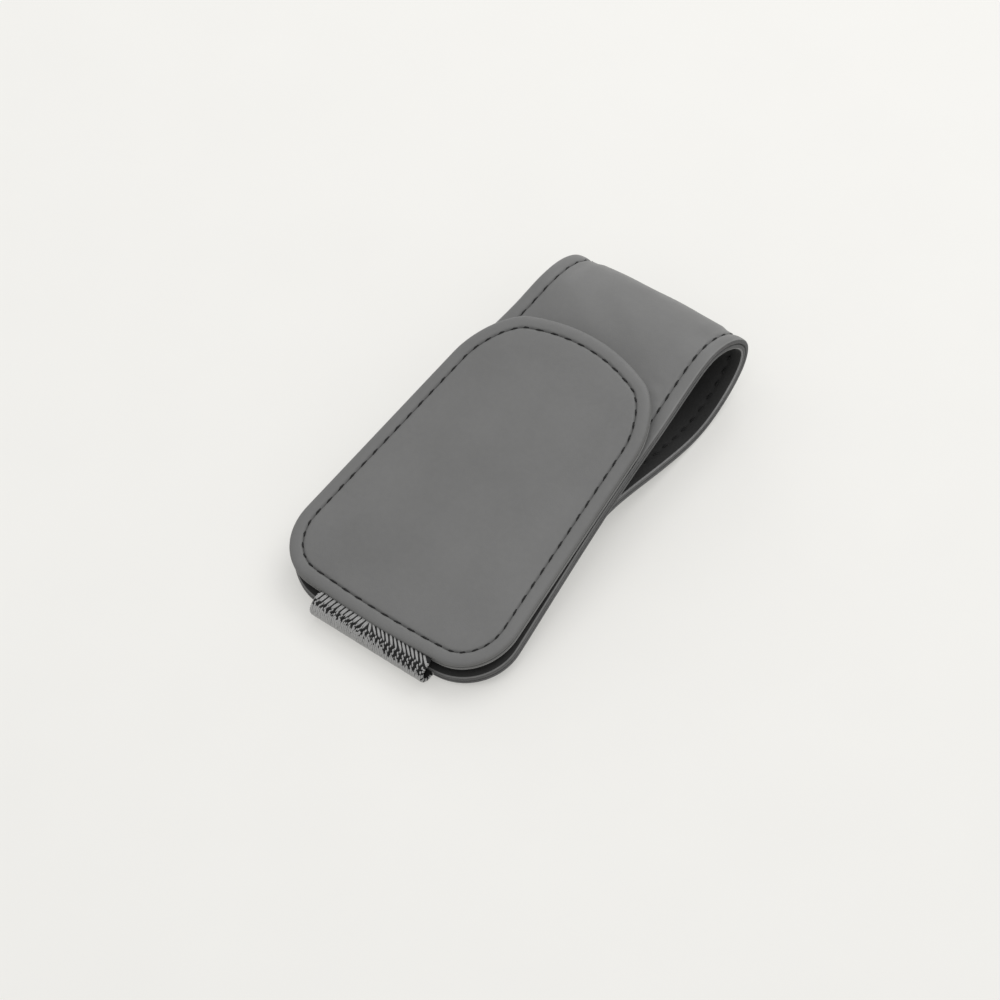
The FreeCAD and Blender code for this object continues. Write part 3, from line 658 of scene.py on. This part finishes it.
# ---------------------------------------------------------------- elastic
EX, EW = 1.15, 25.4
FOLD = np.array([-2.6, -3.0])
R0 = 1.95
LEG = 3.6                     # straight leg from the fold to inside the panels
ARC = math.pi * R0
ET = LEG * 2 + ARC            # length along the band from the base leg to the flap leg

def E(x, v, h):
    """band coordinates: x across, v along from the base side (0) to the flap side (ET), h outwards"""
    x, v, h = np.broadcast_arrays(np.asarray(x, float), np.asarray(v, float), np.asarray(h, float))
    a = np.clip((v - LEG) / R0, 0, math.pi)
    ang = -math.pi / 2 - a                       # from straight down, out past -y, to straight up
    r = R0 + h
    y = FOLD[0] + r * np.cos(ang); z = FOLD[1] + r * np.sin(ang)
    y = y + np.where(v < LEG, LEG - v, 0) + np.where(v > LEG + ARC, v - LEG - ARC, 0)
    return np.stack([x, y, z], -1)

VM = ET / 2

def add(parts, v, f):
    parts[0].append(v); parts[1] += [tuple(int(a) + parts[2][0] for a in ff) for ff in f]; parts[2][0] += len(v)

def web_shell(v0, v1):
    """the backing: a closed thin band with gently waved selvedges"""
    nx, nv = 70, 40
    hx = EW / 2
    sec = []
    xs = np.linspace(-1, 1, nx)
    x = hx * np.sin(xs * math.pi / 2 * 0.999) / math.sin(math.pi / 2 * 0.999)
    edge = np.clip((hx - np.abs(x)) / 0.5, 0, 1) ** 0.5
    top = np.stack([x, 0.34 * edge], 1)
    bot = np.stack([x[::-1], -0.42 * edge[::-1]], 1)
    ring = np.vstack([top, bot[1:-1]])
    vs = np.linspace(v0, v1, nv)
    V_ = []
    for v in vs:
        wob = 0.10 * math.sin(v * 3.1)
        V_.append(E(ring[:, 0] + EX + wob * np.sign(ring[:, 0]) * (np.abs(ring[:, 0]) > hx - 1.0), v, ring[:, 1]))
    n = len(ring)
    F_ = []
    for i in range(nv - 1):
        for j in range(n):
            a, b = i * n + j, i * n + (j + 1) % n
            F_.append((a, b, b + n, a + n))
    F_.append(tuple(range(n))[::-1]); F_.append(tuple((nv - 1) * n + j for j in range(n)))
    return np.vstack(V_), F_

def grain(x, v, L, w, h, ang, h0=0.30, nu=7, na=8):
    """a plump yarn float lying on the band, its length turned by ang from the band's length"""
    V_, F_ = [], []
    ca, sa = math.cos(ang), math.sin(ang)
    for i in range(nu):
        u = -1 + 2 * i / (nu - 1)
        r = max(0.12, (1 - abs(u) ** 2.6)) ** 0.5
        for j in range(na):
            t = 2 * math.pi * j / na
            lx, lh = w / 2 * r * math.cos(t), h * r * math.sin(t)
            lv = L / 2 * u
            V_.append((x + lx * ca + lv * sa, v - lx * sa + lv * ca, h0 + lh))
    for i in range(nu - 1):
        for j in range(na):
            a, b = i * na + j, i * na + (j + 1) % na
            F_.append((a, b, b + na, a + na))
    F_.append(tuple(range(na))[::-1]); F_.append(tuple((nu - 1) * na + j for j in range(na)))
    V_ = np.array(V_)
    return E(V_[:, 0], V_[:, 1], V_[:, 2]), F_

def new_parts():
    return [[], [], [0]]

light = {"lower": new_parts(), "upper": new_parts()}
dark = {"lower": new_parts(), "upper": new_parts()}
def put(kind, x, v, *a, **k):
    add(kind["upper" if v > VM else "lower"], *grain(x, v, *a, **k))

V_TOP = LEG + ARC + 1.25        # where the band comes out from under the flap
X0, X1 = EX - EW / 2, EX + EW / 2

# coarse slanted floats next to the flap: they lean one way on the left half and the other way on the right
x = X0 + 0.45
while x < X1 - 0.35:
    k = min(1.0, max(0.0, (x - 0.2 + 0.9) / 1.8))
    a = 0.30 * (1 - k) - 0.80 * k + rng.uniform(-0.05, 0.05)
    w = 0.62 * (1 - k) + 0.50 * k
    for t, f in ((-0.26, 0.95), (0.24, 1.0)):
        put(light, x + t * w * math.cos(a) + rng.uniform(-0.02, 0.02), V_TOP - 0.62 + rng.uniform(-0.05, 0.05), (2.05 + 0.35 * k) * f, w * 0.62,
            0.21 * rng.uniform(0.9, 1.1), a + rng.uniform(-0.03, 0.03), 0.30, nu=9, na=7)
    x += 0.97
# small checks, a narrow band on the left that widens to the right
for r in range(5):
    nn = int(EW / 0.56)
    for i in range(nn):
        x = X0 + 0.40 + i * (EW - 0.8) / (nn - 1) + (0.14 if r % 2 else -0.14)
        k = min(1.0, max(0.0, (x - X0) / EW))
        if r > 1.6 + 3.4 * k:
            continue
        lean = (0.25 if x < 0.2 else -0.45)
        v = V_TOP - 1.62 - r * 0.36
        kd = dark if (i + r) % 2 == 0 else light
        put(kd, x + rng.uniform(-0.05, 0.05), v + rng.uniform(-0.05, 0.05), 0.50, 0.33, 0.17 if kd is light else 0.15, lean + rng.uniform(-0.15, 0.15), 0.33, nu=5, na=6)
# plain close-set floats over the fold and the underside
nn = int(EW / 0.40)
v = V_TOP - 2.15
while v > 0.8:
    for i in range(nn):
        x = X0 + 0.30 + i * (EW - 0.6) / (nn - 1)
        k = (x - X0) / EW
        if v > V_TOP - 1.62 - 0.36 * (1.6 + 3.4 * k):
            continue
        put(light, x + rng.uniform(-0.03, 0.03), v + (0.42 if i % 2 else 0.0) + rng.uniform(-0.10, 0.10), 1.25, 0.47, 0.12 * rng.uniform(0.7, 1.2), rng.uniform(-0.08, 0.08), 0.335, nu=5, na=6)
    v -= 0.85
# selvedges: short floats wrapped round both side edges
for sx in (-1, 1):
    vv = 0.5
    i = 0
    while vv < V_TOP - 0.1:
        kd = dark if (sx > 0 and i % 3 == 1) else light
        L_, w_, h_ = 0.80, 0.40, 0.20
        pts, fc = [], []
        for a in range(6):
            u = -1 + 2 * a / 5.0
            r_ = max(0.12, (1 - abs(u) ** 2.6)) ** 0.5
            for j in range(6):
                t = 2 * math.pi * j / 6
                pts.append((EX + sx * (EW / 2 - 0.02 + h_ * r_ * math.cos(t)), vv + w_ / 2 * r_ * math.sin(t), L_ / 2 * u - 0.05))
        for a in range(5):
            for j in range(6):
                p, q = a * 6 + j, a * 6 + (j + 1) % 6
                fc.append((p, q, q + 6, p + 6))
        fc.append(tuple(range(6))[::-1]); fc.append(tuple(30 + j for j in range(6)))
        pts = np.array(pts)
        add(kd["upper" if vv > VM else "lower"], E(pts[:, 0], pts[:, 1], pts[:, 2]), fc)
        vv += 0.40
        i += 1

def elastic_object(name, half):
    v0, v1 = (0.0, VM) if half == "lower" else (VM, ET)
    vs, fs = web_shell(v0, v1)
    V_, F_, fm, base = [vs], list(fs), [0] * len(fs), len(vs)
    for k, mi in ((light, 1), (dark, 2)):
        vv, ff, _ = k[half]
        if vv:
            vv = np.vstack(vv)
            V_.append(vv); F_ += [tuple(a + base for a in f) for f in ff]; fm += [mi] * len(ff); base += len(vv)
    o = make_object(name, W(np.vstack(V_)), F_, [mat_web, mat_yarn, mat_yarn_dark], fm)
    bm = bmesh.new(); bm.from_mesh(o.data); bmesh.ops.recalc_face_normals(bm, faces=bm.faces); bm.to_mesh(o.data); bm.free()
    return o

el_low = elastic_object("elastic_web_lower", "lower")
el_up = elastic_object("elastic_web_upper", "upper")
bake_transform(el_low)
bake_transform(el_up)
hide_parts("elastic_base_tab", "elastic_band"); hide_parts("elastic_flap_tab")

# ---------------------------------------------------------------- carried-over nodes
for n, o in frame["nodes"].items():
    mat = mat_nickel if "magnet" in n else mat_core if "stiffener" in n else None
    if mat is not None:
        o.data.materials.clear() if len(o.data.materials) == 0 else None
        for i in range(len(o.material_slots)):
            o.material_slots[i].material = mat

# ---------------------------------------------------------------- camera
F_PX, IMG = 6237.0, 1000.0
Rm = np.array([[0.78054199, 0.5986125, -0.18004799], [0.46846646, -0.75086804, -0.46554952], [-0.41387605, 0.27903451, -0.86651391]])
T = np.array([-22.404898, 20.354558, 1105.213004])
C = -Rm.T @ T
cam = bpy.data.cameras.new("camera")
cam.sensor_width = 36.0
cam.lens = F_PX / IMG * 36.0
cam.clip_start, cam.clip_end = 0.05, 60.0
cam_ob = bpy.data.objects.new("camera", cam)
bpy.context.scene.collection.objects.link(cam_ob)
def rot(v):
    return np.array([v[0], v[1] * CT - v[2] * ST, v[1] * ST + v[2] * CT])
right, up, back = rot(Rm[0]), rot(-Rm[1]), rot(-Rm[2])
loc = W(C)
cam_ob.matrix_world = Matrix([[right[0], up[0], back[0], loc[0]], [right[1], up[1], back[1], loc[1]], [right[2], up[2], back[2], loc[2]], [0, 0, 0, 1]])
bpy.context.scene.camera = cam_ob

# ---------------------------------------------------------------- floor and light
floor_m, nt, b, tc = nodes_of("floor_paper")
f = noise(nt, tc, 40.0, 4.0)
nt.links.new(ramp(nt, f, [(0.3, (0.505, 0.500, 0.483)), (0.7, (0.515, 0.510, 0.493))]), b.inputs["Base Color"])
b.inputs["Emission Color"].default_value = (1.0, 0.991, 0.956, 1)
b.inputs["Emission Strength"].default_value = 0.39
b.inputs["Roughness"].default_value = 0.95
b.inputs["Specular IOR Level"].default_value = 0.05
me = bpy.data.meshes.new("floor")
S = 6.0
me.from_pydata([(-S, -S, -0.0001), (S, -S, -0.0001), (S, S, -0.0001), (-S, S, -0.0001)], [], [(0, 1, 2, 3)])
me.materials.append(floor_m)
floor = bpy.data.objects.new("floor", me)
bpy.context.scene.collection.objects.link(floor)

world = bpy.data.worlds.new("studio")
bpy.context.scene.world = world
world.use_nodes = True
bg = world.node_tree.nodes["Background"]
bg.inputs["Color"].default_value = (1.0, 1.0, 1.0, 1)
bg.inputs["Strength"].default_value = 0.55

def area(name, loc, size, power, target=(0, 0, 0.01), color=(1, 1, 1)):
    l = bpy.data.lights.new(name, "AREA")
    l.shape = "RECTANGLE"
    l.size, l.size_y = size
    l.energy = power
    l.color = color
    o = bpy.data.objects.new(name, l)
    o.location = loc
    o.rotation_mode = "QUATERNION"
    o.rotation_quaternion = (Vector(target) - Vector(loc)).to_track_quat("-Z", "Y")
    bpy.context.scene.collection.objects.link(o)
    return o

area("key_back", (0.04, 0.40, 0.50), (0.50, 0.30), 1.15)
area("rim_left", (-0.50, 0.50, 0.26), (0.35, 0.30), 0.55)
area("top", (0.05, 0.10, 1.5), (1.6, 1.6), 6.2)

bpy.context.scene.view_settings.view_transform = "Standard"
bpy.context.scene.view_settings.look = "None"
bpy.context.scene.view_settings.exposure = 0.0
bpy.context.scene.view_settings.gamma = 1.0

bpy.context.view_layer.update()
